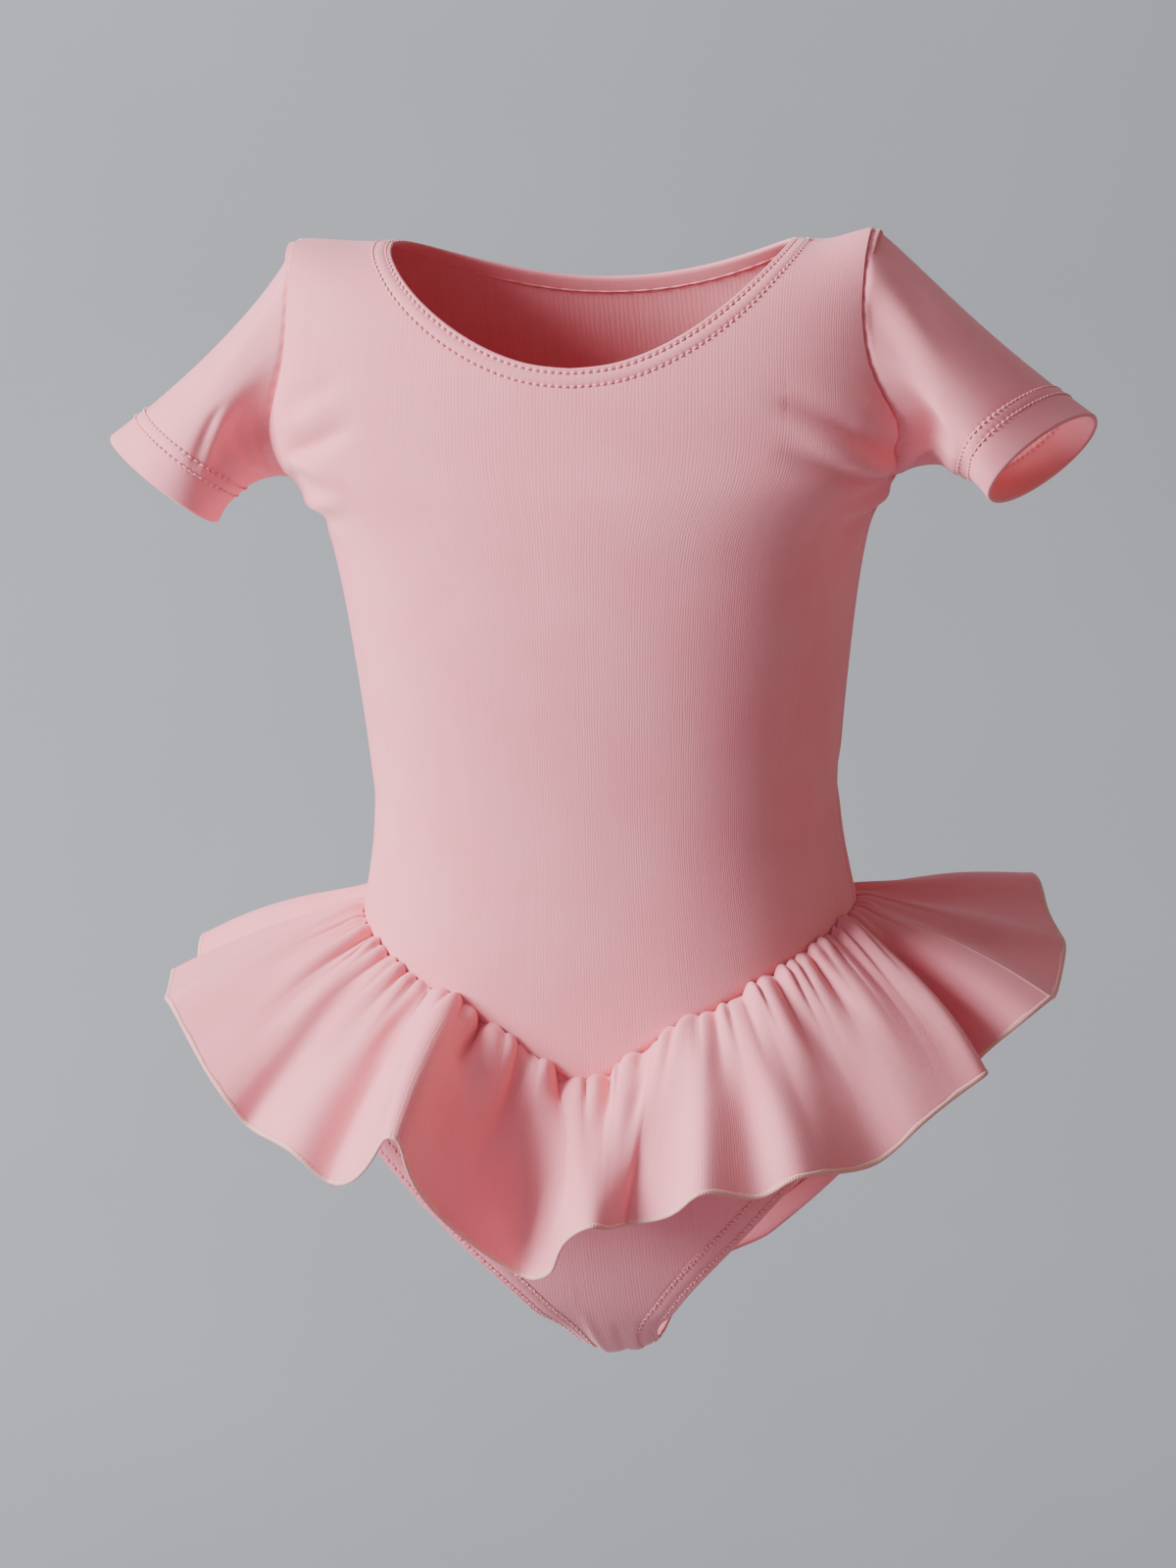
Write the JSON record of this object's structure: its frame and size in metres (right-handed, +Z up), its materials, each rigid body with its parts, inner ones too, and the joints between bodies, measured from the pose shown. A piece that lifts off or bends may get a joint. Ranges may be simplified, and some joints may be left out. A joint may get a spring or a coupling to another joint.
{
  "type": "ballet leotard",
  "caption": "Child's short-sleeved ballet leotard with a scoop neck, a V-shaped waist seam and a short gathered skirt, in the hollow shape it has when worn.",
  "frame": {"origin": "middle of the shoulder line, where the wearer's shoulders hold the garment up", "axes": "+Z up along the wearer's body, -Y towards the front, +X towards the wearer's left"},
  "size_m": [0.3837, 0.304, 0.4508],
  "materials": {
    "jersey": "matte rose-pink cotton jersey with a fine vertical rib",
    "edging": "the same jersey, turned over elastic and stitched down"
  },
  "bodies": {
    "root": {"bodice_front": "jersey", "bodice_back": "jersey", "brief_front": "jersey", "brief_back": "jersey", "skirt_front": "jersey", "skirt_back": "jersey", "sleeve_left": "jersey", "sleeve_right": "jersey", "neck_band_front": "edging", "neck_band_back": "edging", "leg_band_left": "edging", "leg_band_right": "edging"}
  },
  "joints": []
}
